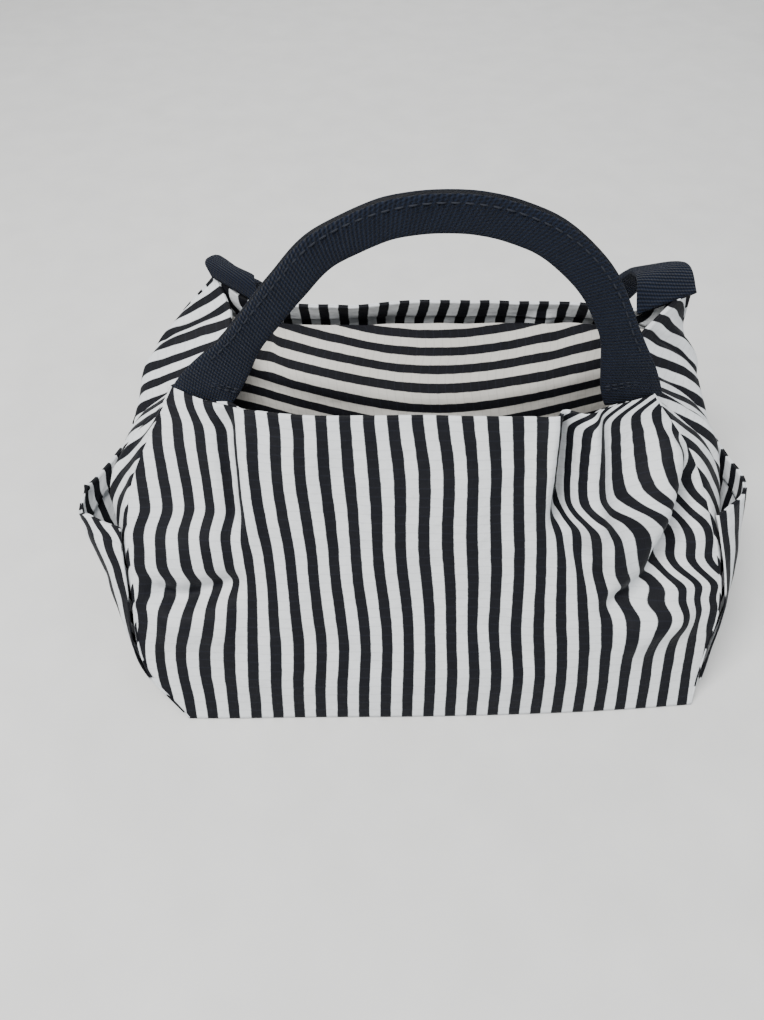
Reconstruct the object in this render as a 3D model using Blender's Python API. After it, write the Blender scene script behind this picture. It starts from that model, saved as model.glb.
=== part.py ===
"""Foldable tote bag: a striped cloth body with lining, two side pockets and two webbing handles.

Frame: origin at the centre of the base's underside, +X to the bag's right, +Y to its back, +Z up.
"""

import math

import bpy
import numpy as np

CM = 0.01
CLOTH = 0.0008  # thickness of one layer of cloth
GAP = 0.0004  # clearance kept between two pieces
FACING_DEPTH = 0.017  # the band of cloth turned in at the front and back rim
HEM_DEPTH = 0.010  # the narrower band turned in at the side rims and the pocket mouths
PANEL_HEIGHT = 0.145  # cloth length from the base edge to the rim
WEBBING_WIDTH = 0.028
WEBBING_THICK = 0.0022
GRIP_WIDTH = 0.0150  # the webbing folded in half along the grip
GRIP_THICK = 0.0050
GRIP_START = 0.10  # shares of a handle's length at which the webbing starts to fold, and over which it folds
GRIP_RUN = 0.16
SEAM_WIDTH = 0.0012  # the row of thread along a folded grip
SEAM_PLACE = 0.62  # where it runs, as a share of the grip's half width
SEAM_FROM, SEAM_TO = 0.24, 0.76  # where it starts and ends, as shares of the handle's length
TACK_WIDTH = 0.0018  # the row of thread across a sewn end
TACK_REACH = 0.82  # how much of the webbing's width it crosses
TACK_PLACE = 0.35  # where it lies between the end and the bend
TACK_LIFT = 0.0002  # extra space under it
THREAD_THICK = 0.0006
BEND_GAP = 0.0018  # space left on each side of the line where a handle bends
# Directions across each handle: along the rim at its two sewn ends, and along the line where it bends.
FRONT_END_AXES = ((0.95, -0.30, -0.05), (-0.95, -0.30, 0.05))
FRONT_BEND_AXIS = (1.0, 0.0, 0.0)
FRONT_BEND_SHARE = 0.050
BACK_END_AXES = ((0.86, -0.37, -0.34), (-0.91, -0.05, -0.41))
BACK_BEND_AXIS = (0.9965, -0.0657, 0.0510)
BACK_BEND_SHARE = 0.052
POCKET_TOP = 0.60  # share of the panel height at which the pocket mouths lie
POCKET_FOOT = 0.06
LEFT_POCKET_BULGE = 0.015
RIGHT_POCKET_BULGE = 0.0095
LINING_SLACK = 0.047  # how far the loose back lining hangs into the bag

# The walls are lofted through upright profiles. Each profile runs from the base edge to the rim
# and is given in centimetres at these shares of the panel height.
PROFILE_SHARES = (0.0, 0.14, 0.42, 0.72, 1.0)

FRONT_LEFT_SEAM = (
    (-11.4, -7.4, 0.05), (-13.1, -6.2, 1.6), (-13.6, -3.7, 5.3), (-13.5, -0.8, 8.7), (-11.5, 2.1, 12.1),
)
FRONT_LEFT_WEBBING = (
    (-9.3, -7.4, 0.05), (-10.4, -6.3, 1.9), (-10.8, -3.9, 5.3), (-10.7, -1.0, 9.0), (-9.9, 1.3, 12.0),
)
FRONT_LEFT_THIRD = (
    (-6.0, -7.35, 0.05), (-6.6, -6.5, 2.0), (-6.9, -4.2, 5.4), (-6.6, -1.9, 9.1), (-6.4, 0.1, 12.3),
)
FRONT_MIDDLE = (
    (0.2, -7.3, 0.05), (0.2, -6.5, 2.1), (0.1, -4.1, 5.5), (-0.2, -2.1, 9.0), (-0.5, -0.1, 12.4),
)
FRONT_RIGHT_THIRD = (
    (6.4, -7.1, 0.05), (6.8, -6.3, 2.1), (6.9, -4.3, 5.4), (6.3, -1.8, 9.2), (5.6, 0.1, 12.3),
)
FRONT_RIGHT_WEBBING = (
    (9.7, -6.9, 0.05), (10.2, -5.9, 2.0), (10.4, -3.9, 5.1), (9.3, -0.8, 9.4), (8.0, 1.2, 12.0),
)
FRONT_RIGHT_SEAM = (
    (12.2, -6.7, 0.05), (12.6, -5.4, 2.0), (12.9, -3.6, 5.0), (11.4, -0.2, 9.4), (9.3, 1.8, 11.9),
)

LEFT_GUSSET_FRONT = (
    (-11.5, -3.7, 0.05), (-13.2, -3.4, 1.7), (-14.3, -1.4, 4.9), (-14.5, 1.5, 8.2), (-10.9, 3.8, 11.2),
)
LEFT_GUSSET_FOLD = (
    (-11.5, 0.0, 0.05), (-13.2, 0.5, 1.7), (-14.4, 2.4, 4.7), (-14.3, 4.8, 8.2), (-10.1, 6.1, 10.8),
)
LEFT_GUSSET_BACK = (
    (-11.5, 3.8, 0.05), (-13.1, 4.5, 1.8), (-14.0, 6.0, 5.0), (-13.9, 8.0, 9.4), (-9.7, 8.1, 11.3),
)
BACK_LEFT_SEAM = (
    (-11.4, 7.4, 0.05), (-12.9, 7.7, 1.8), (-13.2, 8.4, 5.3), (-13.1, 9.6, 9.5), (-10.7, 10.4, 12.1),
)

RIGHT_GUSSET_FRONT = (
    (12.2, -3.6, 0.05), (12.9, -3.2, 1.8), (13.4, -1.2, 4.8), (12.6, 1.6, 8.9), (8.9, 3.5, 11.3),
)
RIGHT_GUSSET_FOLD = (
    (12.2, 0.0, 0.05), (12.9, 0.5, 1.8), (13.5, 2.4, 4.7), (13.1, 4.3, 8.6), (8.9, 5.4, 11.0),
)
RIGHT_GUSSET_BACK = (
    (12.2, 3.8, 0.05), (12.8, 4.5, 1.8), (13.2, 6.0, 5.1), (13.1, 6.9, 9.4), (9.9, 6.5, 11.6),
)
BACK_RIGHT_SEAM = (
    (12.0, 7.4, 0.05), (12.7, 7.7, 2.0), (12.9, 8.5, 5.8), (12.6, 8.6, 9.6), (12.1, 8.1, 12.8),
)

BACK_RIGHT_WEBBING = (
    (10.2, 7.5, 0.05), (10.8, 8.3, 2.0), (11.0, 9.2, 5.7), (10.7, 9.3, 9.2), (10.3, 8.0, 12.0),
)
BACK_RIGHT_THIRD = ((6.0, 7.6, 0.05), (6.3, 8.6, 1.9), (6.6, 9.8, 5.3), (6.9, 10.1, 8.6), (7.2, 9.3, 11.3))
BACK_MIDDLE = ((0.2, 7.6, 0.05), (0.2, 8.7, 1.8), (0.2, 10.0, 5.1), (0.2, 10.3, 8.4), (0.3, 9.6, 11.1))
BACK_LEFT_THIRD = (
    (-5.8, 7.6, 0.05), (-6.2, 8.6, 1.8), (-6.4, 9.9, 5.1), (-6.6, 10.3, 8.4), (-6.9, 9.4, 11.1),
)
BACK_LEFT_WEBBING = (
    (-9.8, 7.5, 0.05), (-10.4, 8.2, 1.8), (-10.7, 9.3, 5.2), (-10.4, 10.1, 8.5), (-9.3, 9.7, 11.4),
)

FRONT_PROFILES = (
    FRONT_LEFT_SEAM,
    FRONT_LEFT_WEBBING,
    FRONT_LEFT_THIRD,
    FRONT_MIDDLE,
    FRONT_RIGHT_THIRD,
    FRONT_RIGHT_WEBBING,
    FRONT_RIGHT_SEAM,
)
FRONT_STATIONS = (0.0, 0.10, 0.27, 0.50, 0.74, 0.89, 1.0)
RIGHT_PROFILES = (
    FRONT_RIGHT_SEAM,
    RIGHT_GUSSET_FRONT,
    RIGHT_GUSSET_FOLD,
    RIGHT_GUSSET_BACK,
    BACK_RIGHT_SEAM,
)
BACK_PROFILES = (
    BACK_RIGHT_SEAM,
    BACK_RIGHT_WEBBING,
    BACK_RIGHT_THIRD,
    BACK_MIDDLE,
    BACK_LEFT_THIRD,
    BACK_LEFT_WEBBING,
    BACK_LEFT_SEAM,
)
BACK_STATIONS = (0.0, 0.09, 0.25, 0.50, 0.76, 0.91, 1.0)
LEFT_PROFILES = (
    BACK_LEFT_SEAM,
    LEFT_GUSSET_BACK,
    LEFT_GUSSET_FOLD,
    LEFT_GUSSET_FRONT,
    FRONT_LEFT_SEAM,
)
GUSSET_STATIONS = (0.0, 0.25, 0.50, 0.75, 1.0)

# Shares of the panel height at which every layer of a wall has its points: the linings end just
# under the rim facings, the pockets run from their foot to their mouth.
UP_SHARES = np.array(
    (0.0, 0.02, 0.06, 0.16, 0.27, 0.38, 0.46, POCKET_TOP - HEM_DEPTH / PANEL_HEIGHT, POCKET_TOP)
    + (0.70, 0.79, 1.0 - (FACING_DEPTH + GAP) / PANEL_HEIGHT, 1.0 - FACING_DEPTH / PANEL_HEIGHT)
    + (1.0 - (HEM_DEPTH + GAP) / PANEL_HEIGHT, 1.0 - HEM_DEPTH / PANEL_HEIGHT, 1.0)
)
POCKET_ROWS = slice(2, 9)
POCKET_HEM_ROWS = slice(7, 9)
LINING_UNDER_FACING = slice(1, 12)
LINING_UNDER_HEM = slice(1, 14)
FACING_ROWS = slice(12, 16)
HEM_ROWS = slice(14, 16)
# How far forward the loose back lining hangs, as a share of its slack, at shares of its height.
HANG_KNOTS = (0.0, 0.14, 0.42, 0.62, 0.72, 0.80, 0.89, 1.0)
HANG_VALUES = (0.08, 0.45, 1.0, 1.0, 0.90, 0.52, 0.10, 0.0)

# Centre line of the front handle from its left end to its right end, in centimetres.
FRONT_HANDLE_LINE = (
    (-9.85, 1.75, 12.15),
    (-8.4, 1.75, 14.1),
    (-6.65, 1.75, 16.4),
    (-4.3, 1.7, 19.0),
    (-1.6, 1.7, 20.1),
    (1.4, 1.7, 20.1),
    (4.0, 1.7, 19.0),
    (5.8, 1.7, 17.2),
    (7.1, 1.7, 14.8),
    (8.15, 1.7, 12.15),
)
# The back handle stands up from the rim, turns over and hangs behind the back panel.
BACK_HANDLE_LINE = (
    (-9.75, 10.0, 12.05),
    (-9.9, 10.45, 12.6),
    (-9.9, 11.1, 12.6),
    (-9.6, 11.8, 11.6),
    (-8.8, 12.3, 9.2),
    (-7.0, 12.5, 6.6),
    (-4.0, 12.6, 4.5),
    (0.3, 12.6, 3.7),
    (4.6, 12.6, 4.5),
    (7.7, 12.5, 6.6),
    (9.8, 12.2, 9.4),
    (10.7, 11.2, 12.4),
    (10.9, 10.3, 13.35),
    (11.0, 9.3, 13.4),
    (11.0, 8.4, 12.8),
)


def clear_scene():
    """Takes the start-up objects out of the scene."""
    for leftover in list(bpy.data.objects):
        bpy.data.objects.remove(leftover, do_unlink=True)


def make_material(name, colour, roughness):
    material = bpy.data.materials.new(name)
    material.use_nodes = True
    shader = material.node_tree.nodes["Principled BSDF"]
    shader.inputs["Base Color"].default_value = (*colour, 1.0)
    shader.inputs["Roughness"].default_value = roughness
    return material


def make_object(name, points, faces, material):
    """A mesh object with its normals turned outward."""
    mesh = bpy.data.meshes.new(name)
    mesh.from_pydata([tuple(p) for p in points], [], faces)
    mesh.update()
    mesh.materials.append(material)
    obj = bpy.data.objects.new(name, mesh)
    bpy.context.collection.objects.link(obj)
    volume = 0.0
    mesh.calc_loop_triangles()
    for triangle in mesh.loop_triangles:
        a, b, c = (mesh.vertices[i].co for i in triangle.vertices)
        volume += a.dot(b.cross(c))
    if volume < 0:
        mesh.flip_normals()
    return obj


def spline(knots, values, at):
    """Smooth curve through the values at the knots, read at each place in at."""
    knots = np.asarray(knots, float)
    values = np.asarray(values, float)
    at = np.asarray(at, float)
    slopes = np.gradient(values, knots, axis=0)
    index = np.clip(np.searchsorted(knots, at, side="right") - 1, 0, len(knots) - 2)
    width = knots[index + 1] - knots[index]
    u = (at - knots[index]) / width
    shape = (len(at),) + (1,) * (values.ndim - 1)
    u = u.reshape(shape)
    width = width.reshape(shape)
    start_weight = 2 * u**3 - 3 * u**2 + 1
    end_weight = -2 * u**3 + 3 * u**2
    start_slope = (u**3 - 2 * u**2 + u) * width
    end_slope = (u**3 - u**2) * width
    return (
        start_weight * values[index]
        + end_weight * values[index + 1]
        + start_slope * slopes[index]
        + end_slope * slopes[index + 1]
    )


def shares(starts, cells):
    """Places along a panel, close together at both ends where the layers stop one inside another."""
    inner = np.linspace(starts[-1], 1.0 - starts[-1], cells + 1)
    ends = np.asarray(starts[:-1])
    return np.concatenate([ends, inner, 1.0 - ends[::-1]])


def wall(profiles, stations, along):
    """Points and outward normals of a lofted wall: [along, up, xyz], in metres."""
    heights = np.stack([spline(PROFILE_SHARES, profile, UP_SHARES) for profile in profiles])
    grid = spline(stations, heights, along) * CM
    return grid, wall_normals(grid)


def wall_normals(grid):
    """Unit normals of a grid of points."""
    along = np.gradient(grid, axis=0)
    up = np.gradient(grid, axis=1)
    normal = np.cross(along, up)
    return normal / np.linalg.norm(normal, axis=2, keepdims=True)


def sheet_solid(name, outer, inner, material):
    """A closed sheet between two grids of the same shape."""
    columns, rows = outer.shape[:2]
    points = np.concatenate([outer.reshape(-1, 3), inner.reshape(-1, 3)])
    back = columns * rows

    def at(i, j):
        return i * rows + j

    faces = []
    for i in range(columns - 1):
        for j in range(rows - 1):
            a, b, c, d = at(i, j), at(i + 1, j), at(i + 1, j + 1), at(i, j + 1)
            faces += [(a, b, c), (a, c, d)]
            faces += [(back + c, back + b, back + a), (back + d, back + c, back + a)]
    border = [at(i, 0) for i in range(columns)]
    border += [at(columns - 1, j) for j in range(1, rows)]
    border += [at(i, rows - 1) for i in range(columns - 2, -1, -1)]
    border += [at(0, j) for j in range(rows - 2, 0, -1)]
    for here, there in zip(border, border[1:] + border[:1]):
        faces += [(there, here, back + here), (there, back + here, back + there)]
    return make_object(name, points, faces, material)


def layer(name, wall_surface, columns, rows, depth, material):
    """One cloth layer of a wall: depth is how far its outer face lies inside the wall's surface."""
    grid, normal = wall_surface
    outer = (grid - normal * depth)[columns, rows]
    inner = (grid - normal * (depth + CLOTH))[columns, rows]
    return sheet_solid(name, outer, inner, material)


def build_wall(name, wall_surface, facing_name, facing_rows, lining_name, lining_rows, materials):
    """A wall's outer panel, the band turned in at its rim and, under that band, its lining."""
    cloth, lining = materials
    inside = CLOTH + GAP
    layer(name, wall_surface, slice(None), slice(None), 0.0, cloth)
    layer(facing_name, wall_surface, slice(1, -1), facing_rows, inside, cloth)
    if lining_name:
        layer(lining_name, wall_surface, slice(2, -2), lining_rows, inside, lining)


def build_back_lining(wall_surface, along, lining):
    """The back lining is loose: it swings forward into the bag, most of all above its middle."""
    grid, normal = wall_surface
    swell = np.sin(np.pi * np.clip((along - 0.04) / 0.92, 0.0, 1.0)) ** 0.8
    hang = spline(HANG_KNOTS, HANG_VALUES, UP_SHARES)
    loose = grid - normal * (2 * CLOTH + 3 * GAP)
    loose[:, :, 1] -= LINING_SLACK * swell[:, None] * hang[None, :]
    outer = loose[3:-3, LINING_UNDER_FACING]
    inner = outer - wall_normals(outer) * CLOTH
    return sheet_solid("back_lining", outer, inner, lining)


def base_outline(margin):
    """Corner-rounded outline of the base inside the walls, counted from the front left."""
    left, right = -0.1120 + margin, 0.1185 - margin
    front, back = -0.0719 + margin, 0.0728 - margin
    skew = 0.0070  # the front right corner lies this much further back
    return [
        (left, front + 0.004),
        (left + 0.004, front),
        (0.0, front + 0.0019),
        (right - 0.004, front + skew),
        (right, front + skew + 0.004),
        (right, back - 0.004),
        (right - 0.004, back),
        (left + 0.004, back),
        (left, back - 0.004),
    ]


def build_base(cloth, lining):
    """The base and the lining that lies on it."""
    plate("base_panel", base_outline(0.0), 0.0, CLOTH, cloth)
    plate("base_lining", base_outline(0.0035), CLOTH + GAP, 2 * CLOTH + GAP, lining)


def plate(name, outline, low, high, material):
    """A flat piece with this outline between two heights."""
    count = len(outline)
    points = [(x, y, low) for x, y in outline] + [(x, y, high) for x, y in outline]
    faces = [tuple(range(count - 1, -1, -1)), tuple(range(count, 2 * count))]
    for i in range(count):
        j = (i + 1) % count
        faces.append((i, j, count + j, count + i))
    return make_object(name, points, faces, material)


def pocket_swell(along, peak, bulge):
    """How far the pocket stands off the gusset: nothing at its sides and foot, most at its mouth."""
    share = (UP_SHARES - POCKET_FOOT) / (POCKET_TOP - POCKET_FOOT)
    rise = np.clip(share, 0.0, 1.0) ** 0.75
    across = np.where(along < peak, along / peak, (1.0 - along) / (1.0 - peak))
    across = np.sin(0.5 * np.pi * np.clip(across, 0.0, 1.0)) ** 1.1
    return bulge * across[:, None] * rise[None, :]


def build_pocket(side, wall_surface, along, peak, bulge, cloth):
    """A side pocket standing off its gusset, and the hem turned in at its mouth."""
    grid, normal = wall_surface
    hem = grid + normal * (GAP + pocket_swell(along, peak, bulge)[:, :, None])
    outward = wall_normals(hem)
    faces = [hem + outward * offset for offset in (0.0, CLOTH, CLOTH + GAP, 2 * CLOTH + GAP)]
    hem_inner, hem_outer, inner, outer = faces
    cloth_part = (slice(1, -1), POCKET_ROWS)
    hem_part = (slice(2, -2), POCKET_HEM_ROWS)
    sheet_solid(side + "_pocket", outer[cloth_part], inner[cloth_part], cloth)
    sheet_solid(side + "_pocket_hem", hem_outer[hem_part], hem_inner[hem_part], cloth)


def handle_frames(line, facing, end_axes, bend_axis, bend_share, share):
    """Centre points, width directions, half widths and half thicknesses at shares of a handle's length."""
    line = np.asarray(line) * CM
    steps = np.linalg.norm(np.diff(line, axis=0), axis=1)
    knots = np.concatenate([[0.0], np.cumsum(steps)]) / steps.sum()
    points = spline(knots, line, share)
    ahead = spline(knots, line, share + 0.002) - spline(knots, line, share - 0.002)
    ahead /= np.linalg.norm(ahead, axis=1, keepdims=True)
    thick = facing(share)
    thick -= ahead * np.sum(thick * ahead, axis=1, keepdims=True)
    thick /= np.linalg.norm(thick, axis=1, keepdims=True)
    wide = np.cross(ahead, thick)
    # From each sewn end the width turns from the rim's line to the bend's line, then square to the webbing.
    for place, axis, sign in ((share, end_axes[0], 1.0), (1.0 - share, end_axes[1], -1.0)):
        near = np.clip(1.0 - place / bend_share, 0.0, 1.0)[:, None]
        far = np.clip(1.0 - (place - 1.3 * bend_share) / (1.6 * bend_share), 0.0, 1.0)[:, None]
        wide = wide * (1.0 - far) + sign * np.asarray(bend_axis) * far
        wide = wide * (1.0 - near) + np.asarray(axis) * near
    wide /= np.linalg.norm(wide, axis=1, keepdims=True)
    folded = np.clip((np.minimum(share, 1.0 - share) - GRIP_START) / GRIP_RUN, 0.0, 1.0)
    folded = folded * folded * (3.0 - 2.0 * folded)
    half_width = 0.5 * (WEBBING_WIDTH + (GRIP_WIDTH - WEBBING_WIDTH) * folded)
    half_thick = 0.5 * (WEBBING_THICK + (GRIP_THICK - WEBBING_THICK) * folded)
    thick = np.cross(wide, ahead)
    thick /= np.linalg.norm(thick, axis=1, keepdims=True)
    return points, wide, thick, half_width, half_thick


def tube(name, sections, material):
    """A closed solid swept through sections with the same number of points."""
    count = sections.shape[1]
    faces = [tuple(range(count - 1, -1, -1))]
    last = (len(sections) - 1) * count
    faces.append(tuple(range(last, last + count)))
    for ring in range(len(sections) - 1):
        low = ring * count
        for i in range(count):
            j = (i + 1) % count
            faces.append((low + i, low + j, low + count + j, low + count + i))
    return make_object(name, sections.reshape(-1, 3), faces, material)


def band_sections(points, wide, thick, half_width, half_thick):
    """Sections of a flat band with eased edges."""
    ease = 0.7
    corners = ((1, -ease), (1, ease), (ease, 1), (-ease, 1), (-1, ease), (-1, -ease), (-ease, -1), (ease, -1))
    rings = []
    for w, t in corners:
        rings.append(points + wide * (w * half_width)[:, None] + thick * (t * half_thick)[:, None])
    return np.stack(rings, axis=1)


def build_handle(name, shape, materials):
    """A webbing handle: two sewn ends, the loop that turns where the webbing bends, and its seams."""
    webbing, thread = materials
    line, *_, bend_share = shape
    length = np.linalg.norm(np.diff(np.asarray(line) * CM, axis=0), axis=1).sum()
    margin = BEND_GAP / length
    low = np.linspace(0.0, bend_share - margin, 4)
    loop = np.linspace(bend_share + margin, 1.0 - bend_share - margin, 33)
    for part, share in (("_left_end", low), ("", loop), ("_right_end", 1.0 - low[::-1])):
        tube(name + part, band_sections(*handle_frames(*shape, share)), webbing)
    grip = np.linspace(SEAM_FROM, SEAM_TO, 17)
    half_thread = 0.5 * THREAD_THICK
    points, wide, thick, half_width, half_thick = handle_frames(*shape, grip)
    outward = thick * (half_thick + GAP + half_thread)[:, None]
    seam = points - wide * (half_width * SEAM_PLACE)[:, None] + outward
    half_seam = np.full(len(grip), 0.5 * SEAM_WIDTH)
    rings = band_sections(seam, wide, thick, half_seam, np.full(len(grip), half_thread))
    tube(name + "_grip_stitching", rings, thread)
    for side, share in (("left", TACK_PLACE * bend_share), ("right", 1.0 - TACK_PLACE * bend_share)):
        points, wide, thick, half_width, half_thick = handle_frames(*shape, np.array([share]))
        centre = points + thick * (half_thick + GAP + half_thread + TACK_LIFT)[:, None]
        reach = wide * half_width * TACK_REACH
        ends = np.concatenate([centre - reach, centre + reach])
        across = np.cross(thick, wide)
        widths = np.concatenate([across, across])
        depths = np.concatenate([thick, thick])
        tack = band_sections(ends, widths, depths, np.full(2, 0.5 * TACK_WIDTH), np.full(2, half_thread))
        tube(name + "_" + side + "_tack", tack, thread)


def front_facing(share):
    """The front handle faces forward all along."""
    return np.tile(np.array([0.0, -1.0, 0.0]), (len(share), 1))


def back_facing(share):
    """The back handle faces forward at its ends and backward where it hangs."""
    turn = np.clip(np.minimum(share, 1.0 - share) / 0.16, 0.0, 1.0) * math.pi
    direction = np.zeros((len(share), 3))
    direction[:, 1] = -np.cos(turn)
    direction[:, 2] = np.sin(turn)
    return direction


def main():
    clear_scene()
    cloth = make_material("striped_cloth", (0.42, 0.43, 0.45), 0.75)
    lining = make_material("striped_lining", (0.38, 0.37, 0.35), 0.8)
    webbing = make_material("navy_webbing", (0.012, 0.018, 0.035), 0.9)
    thread = make_material("navy_thread", (0.02, 0.03, 0.05), 0.8)
    both = (cloth, lining)
    wide_shares = shares((0.0012, 0.020, 0.032, 0.045), 13)
    deep_shares = shares((0.045, 0.070, 0.084), 9)
    front = wall(FRONT_PROFILES, FRONT_STATIONS, wide_shares)
    back = wall(BACK_PROFILES, BACK_STATIONS, wide_shares)
    left = wall(LEFT_PROFILES, GUSSET_STATIONS, deep_shares)
    right = wall(RIGHT_PROFILES, GUSSET_STATIONS, deep_shares)
    build_wall("front_panel", front, "front_rim_facing", FACING_ROWS, "front_lining", LINING_UNDER_FACING, both)
    build_wall("back_panel", back, "back_rim_facing", FACING_ROWS, None, None, both)
    build_wall("left_gusset", left, "left_rim_hem", HEM_ROWS, "left_lining", LINING_UNDER_HEM, both)
    build_wall("right_gusset", right, "right_rim_hem", HEM_ROWS, "right_lining", LINING_UNDER_HEM, both)
    build_back_lining(back, wide_shares, lining)
    build_base(cloth, lining)
    build_pocket("left", left, deep_shares, 0.66, LEFT_POCKET_BULGE, cloth)
    build_pocket("right", right, deep_shares, 0.36, RIGHT_POCKET_BULGE, cloth)
    front_shape = (FRONT_HANDLE_LINE, front_facing, FRONT_END_AXES, FRONT_BEND_AXIS, FRONT_BEND_SHARE)
    build_handle("front_handle", front_shape, (webbing, thread))
    back_shape = (BACK_HANDLE_LINE, back_facing, BACK_END_AXES, BACK_BEND_AXIS, BACK_BEND_SHARE)
    build_handle("back_handle", back_shape, (webbing, thread))


main()
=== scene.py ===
"""Foldable tote bag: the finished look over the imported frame."""
import math

import bpy
import numpy as np
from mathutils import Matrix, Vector, noise


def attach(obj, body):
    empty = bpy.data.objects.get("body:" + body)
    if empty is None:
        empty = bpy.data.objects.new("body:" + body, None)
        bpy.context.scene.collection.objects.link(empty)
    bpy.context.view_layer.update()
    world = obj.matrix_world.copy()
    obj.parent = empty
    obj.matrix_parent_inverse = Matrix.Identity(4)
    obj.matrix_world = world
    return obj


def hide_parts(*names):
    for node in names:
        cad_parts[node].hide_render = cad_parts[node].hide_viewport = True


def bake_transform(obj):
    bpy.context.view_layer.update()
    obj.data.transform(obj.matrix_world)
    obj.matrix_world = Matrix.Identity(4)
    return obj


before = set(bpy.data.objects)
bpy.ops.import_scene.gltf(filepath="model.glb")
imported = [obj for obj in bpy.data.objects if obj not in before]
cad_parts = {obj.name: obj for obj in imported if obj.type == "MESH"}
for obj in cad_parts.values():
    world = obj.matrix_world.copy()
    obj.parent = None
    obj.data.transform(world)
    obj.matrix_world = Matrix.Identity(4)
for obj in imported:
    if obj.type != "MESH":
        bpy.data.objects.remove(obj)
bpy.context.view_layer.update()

CM = 0.01
CLOTH = 0.0007  # thickness of one layer of cloth
GAP = 0.00025  # clearance between two layers of cloth
PANEL_HEIGHT = 0.145  # cloth length from the base edge to the rim
FACING_DEPTH = 0.017  # the band turned in at the front and back rim
HEM_DEPTH = 0.010  # the narrower band turned in at the side rims and the pocket mouths
FACING_FOOT = 1.0 - FACING_DEPTH / PANEL_HEIGHT  # where the band ends, as a share of the panel's height
HEM_FOOT = 1.0 - HEM_DEPTH / PANEL_HEIGHT
LINING_TUCK = 0.010  # how far a lining reaches up behind the band, in shares of the height
HANDLE_ROOM = 0.0026  # extra room behind the front rim for each sewn end of the handle
POCKET_TOP = 0.60  # the pocket's mouth and foot, as shares of the height
POCKET_FOOT = 0.06
POCKET_REACH = 0.20  # how far a pocket's swell reaches to each side of its peak, in shares of the width
LEFT_POCKET_PEAK = 0.74
RIGHT_POCKET_PEAK = 0.28
LEFT_POCKET_BULGE = 0.014
RIGHT_POCKET_BULGE = 0.0095
LINING_SLACK = 0.047  # how far the loose back lining hangs into the bag
# How much of that it hangs in at these shares of the height.
HANG_KNOTS = (0.0, 0.14, 0.42, 0.62, 0.72, 0.80, 0.89, 1.0)
HANG_VALUES = (0.08, 0.45, 1.0, 1.0, 0.90, 0.52, 0.10, 0.0)
WEBBING_WIDTH = 0.028
WEBBING_THICK = 0.0021
GRIP_WIDTH = 0.0150  # the webbing folded in half along the grip
GRIP_THICK = 0.0052
GRIP_STITCH = (0.0034, 0.0014, 0.00038)  # length, space and radius of a stitch
TACK_STITCH = (0.0022, 0.0010, 0.00032)
TACK_ROWS = (0.0042, 0.0062)  # how far up from the rim the two rows across a sewn end lie
TACK_POINTS = 30  # places along each of them

# Upright profiles of the walls in centimetres, from the base edge to the rim, at these shares of its height.
PROFILE_SHARES = (0.0, 0.14, 0.42, 0.72, 1.0)
FRONT_LEFT_SEAM = (
    (-11.4, -7.4, 0.05), (-13.1, -6.2, 1.6), (-13.6, -3.7, 5.3), (-13.5, -0.8, 8.7), (-11.5, 2.1, 12.1),
)
FRONT_LEFT_WEBBING = (
    (-9.3, -7.4, 0.05), (-10.4, -6.3, 1.9), (-10.8, -3.9, 5.3), (-10.7, -1.0, 9.0), (-9.9, 1.3, 12.0),
)
FRONT_LEFT_THIRD = (
    (-6.0, -7.35, 0.05), (-6.6, -6.5, 2.0), (-6.9, -4.2, 5.4), (-6.6, -1.9, 9.1), (-6.4, 0.1, 12.3),
)
FRONT_MIDDLE = (
    (0.2, -7.3, 0.05), (0.2, -6.5, 2.1), (0.1, -4.1, 5.5), (-0.2, -2.1, 9.0), (-0.5, -0.1, 12.4),
)
FRONT_RIGHT_THIRD = (
    (6.4, -7.1, 0.05), (6.8, -6.3, 2.1), (6.9, -4.3, 5.4), (6.3, -1.8, 9.2), (5.6, 0.1, 12.3),
)
FRONT_RIGHT_WEBBING = (
    (9.7, -6.9, 0.05), (10.2, -5.9, 2.0), (10.4, -3.9, 5.1), (9.3, -0.8, 9.4), (8.0, 1.2, 12.0),
)
FRONT_RIGHT_SEAM = (
    (12.2, -6.7, 0.05), (12.6, -5.4, 2.0), (12.9, -3.6, 5.0), (11.4, -0.2, 9.4), (9.3, 1.8, 11.9),
)
LEFT_GUSSET_FRONT = (
    (-11.5, -3.7, 0.05), (-13.2, -3.4, 1.7), (-14.3, -1.4, 4.9), (-14.5, 1.5, 8.2), (-10.9, 3.8, 11.2),
)
LEFT_GUSSET_FOLD = (
    (-11.5, 0.0, 0.05), (-13.2, 0.5, 1.7), (-14.4, 2.4, 4.7), (-14.3, 4.8, 8.2), (-10.1, 6.1, 10.8),
)
LEFT_GUSSET_BACK = (
    (-11.5, 3.8, 0.05), (-13.1, 4.5, 1.8), (-14.0, 6.0, 5.0), (-13.9, 8.0, 9.4), (-9.7, 8.1, 11.3),
)
BACK_LEFT_SEAM = (
    (-11.4, 7.4, 0.05), (-12.9, 7.7, 1.8), (-13.2, 8.4, 5.3), (-13.1, 9.6, 9.5), (-10.7, 10.4, 12.1),
)
RIGHT_GUSSET_FRONT = (
    (12.2, -3.6, 0.05), (12.9, -3.2, 1.8), (13.4, -1.2, 4.8), (12.6, 1.6, 8.9), (8.9, 3.5, 11.3),
)
RIGHT_GUSSET_FOLD = (
    (12.2, 0.0, 0.05), (12.9, 0.5, 1.8), (13.5, 2.4, 4.7), (13.1, 4.3, 8.6), (8.9, 5.4, 11.0),
)
RIGHT_GUSSET_BACK = (
    (12.2, 3.8, 0.05), (12.8, 4.5, 1.8), (13.2, 6.0, 5.1), (13.1, 6.9, 9.4), (9.9, 6.5, 11.6),
)
BACK_RIGHT_SEAM = (
    (12.0, 7.4, 0.05), (12.7, 7.7, 2.0), (12.9, 8.5, 5.8), (12.6, 8.6, 9.6), (12.1, 8.1, 12.8),
)
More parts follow.
